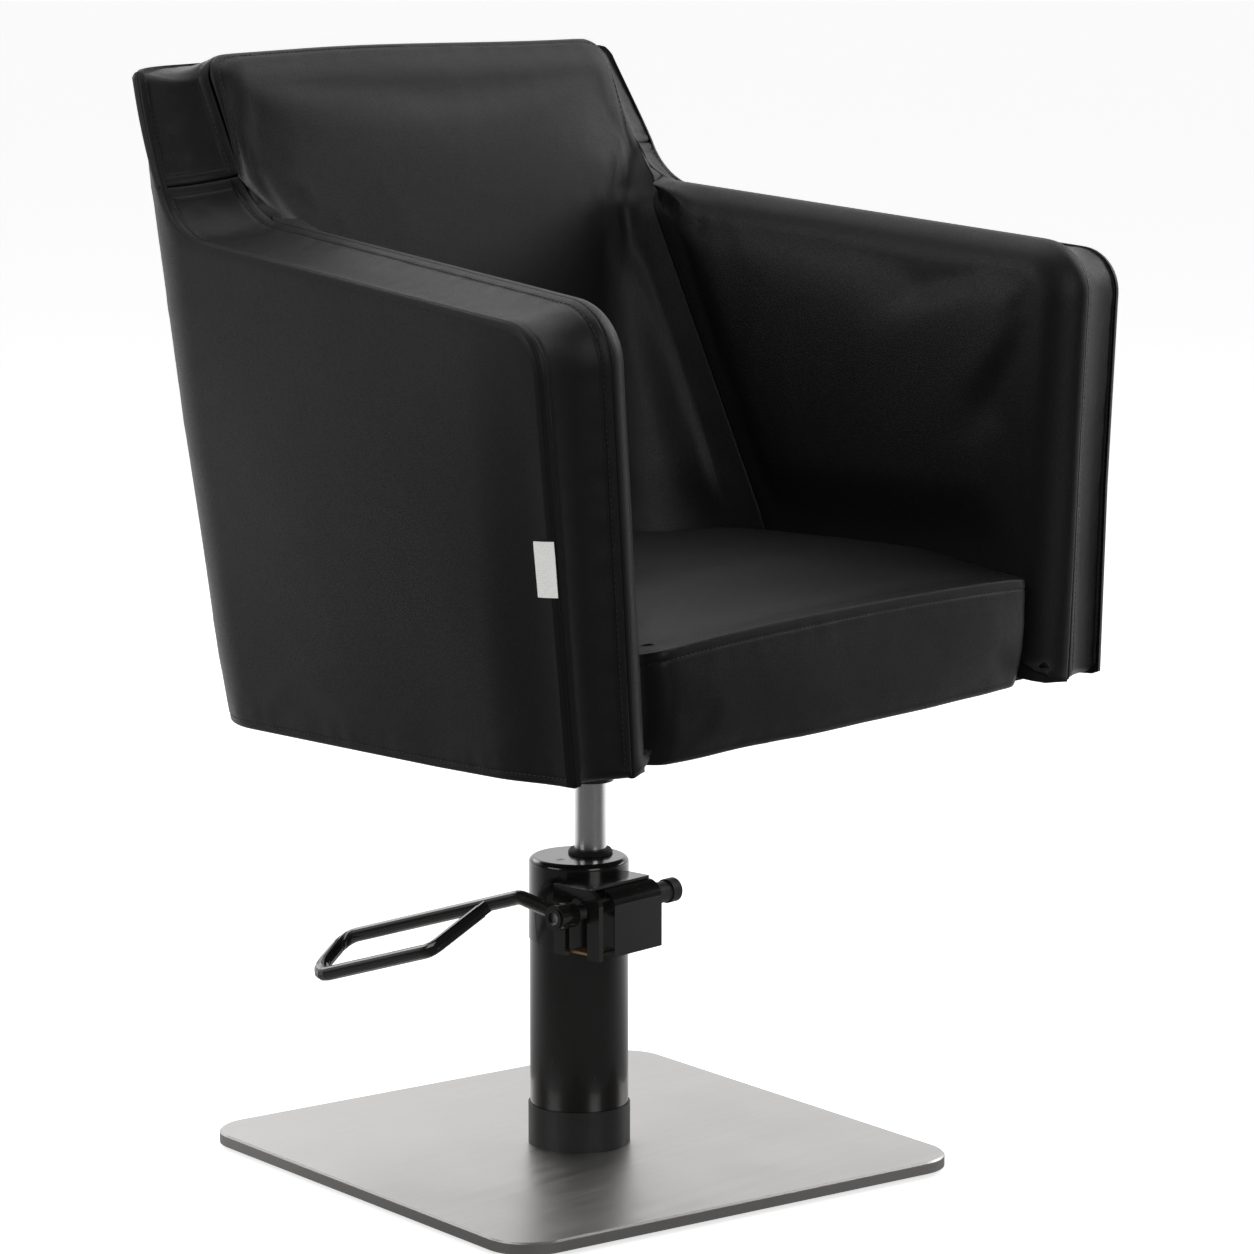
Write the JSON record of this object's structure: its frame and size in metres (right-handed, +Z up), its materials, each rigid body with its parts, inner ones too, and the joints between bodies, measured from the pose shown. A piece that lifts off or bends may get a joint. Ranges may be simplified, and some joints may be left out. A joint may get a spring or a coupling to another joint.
{
  "type": "salon styling chair",
  "caption": "Upholstered tub seat with stepped back and padded arms, turning on a hydraulic lift column with a looped foot lever and a square flat base plate",
  "frame": {"origin": "on the floor, on the axis of the lift rod about which the seat turns", "axes": "+Z up along the rod, -Y the way the seat faces, +X to the left of a person sitting in the chair"},
  "size_m": [0.7056, 0.5522, 0.917],
  "materials": {
    "leatherette": "black grained leatherette with a soft sheen",
    "cover_cloth": "thin black non-woven cloth",
    "tag_cloth": "blank white woven tape",
    "stainless": "fine satin brushed",
    "chrome": "hard chromed and ground rod",
    "gloss_black": "gloss black powder coat",
    "matt_black": "matt black powder coat",
    "black_plastic": "moulded, lightly textured",
    "black_rubber": "smooth moulded",
    "zinc_steel": "zinc plated, machined",
    "bronze": "turned bronze and yellow plating",
    "plywood": "raw plywood"
  },
  "bodies": {
    "stand": {"base_plate": "stainless", "base_glides": "black_plastic", "glide_screws": "zinc_steel", "flange_bolts": "zinc_steel", "foot_ring": "matt_black", "reservoir_tube": "gloss_black", "inner_cylinder": "zinc_steel", "pump_cap": "gloss_black", "guide_bush": "bronze", "rod_collar": "black_rubber", "cap_plug": "zinc_steel", "bearing_block": "gloss_black", "block_screws": "zinc_steel", "lever_bracket": "gloss_black", "lever_housing": "gloss_black", "stop_plate": "bronze", "return_spring": "zinc_steel"},
    "lift": {"lift_piston": "zinc_steel", "piston_seal": "black_rubber", "thrust_bearing": "zinc_steel"},
    "seat": {"lift_rod": "chrome", "rod_socket": "gloss_black", "socket_clamp": "gloss_black", "clamp_screw": "zinc_steel", "seat_plate": "matt_black", "seat_plate_bolts": "zinc_steel", "seat_board": "plywood", "bottom_cover": "cover_cloth", "arm_frame_left": "plywood", "arm_frame_right": "plywood", "back_frame": "plywood", "frame_bolts": "zinc_steel", "seat_cushion": "leatherette", "arm_pad_left": "leatherette", "arm_pad_right": "leatherette", "back_pad": "leatherette", "arm_border_left": "leatherette", "arm_border_right": "leatherette", "back_border": "leatherette", "side_panel_left": "leatherette", "side_panel_right": "leatherette", "back_panel": "leatherette", "seam_tag": "tag_cloth"},
    "lever": {"lever_shaft": "zinc_steel", "lever_cam": "zinc_steel", "foot_lever": "gloss_black", "lever_hub": "gloss_black", "hub_screw": "zinc_steel", "shaft_end_cap": "black_plastic"},
    "plunger": {"pump_plunger": "zinc_steel"}
  },
  "joints": [
    {"name": "seat_lift", "type": "slide", "parent": "stand", "child": "lift", "axis": [0, 0, 1], "range_m": [-0.055, 0.085]},
    {"name": "seat_swivel", "type": "hinge", "parent": "lift", "child": "seat", "pos_m": [0, 0, 0.39], "axis": [0, 0, 1], "continuous": true},
    {"name": "lever_hinge", "type": "hinge", "parent": "stand", "child": "lever", "pos_m": [-0.088, -0.05, 0.224], "axis": [-1, 0, 0], "range_deg": [0, 22], "stiffness_Nm_per_rad": 6, "springref_deg": -20.05},
    {"name": "plunger_slide", "type": "slide", "parent": "stand", "child": "plunger", "axis": [0, 1, 0], "range_m": [0, 0.0052]}
  ],
  "couplings": [
    {"joint": "plunger_slide", "follows": "lever_hinge", "m_per_rad": 0.013}
  ]
}
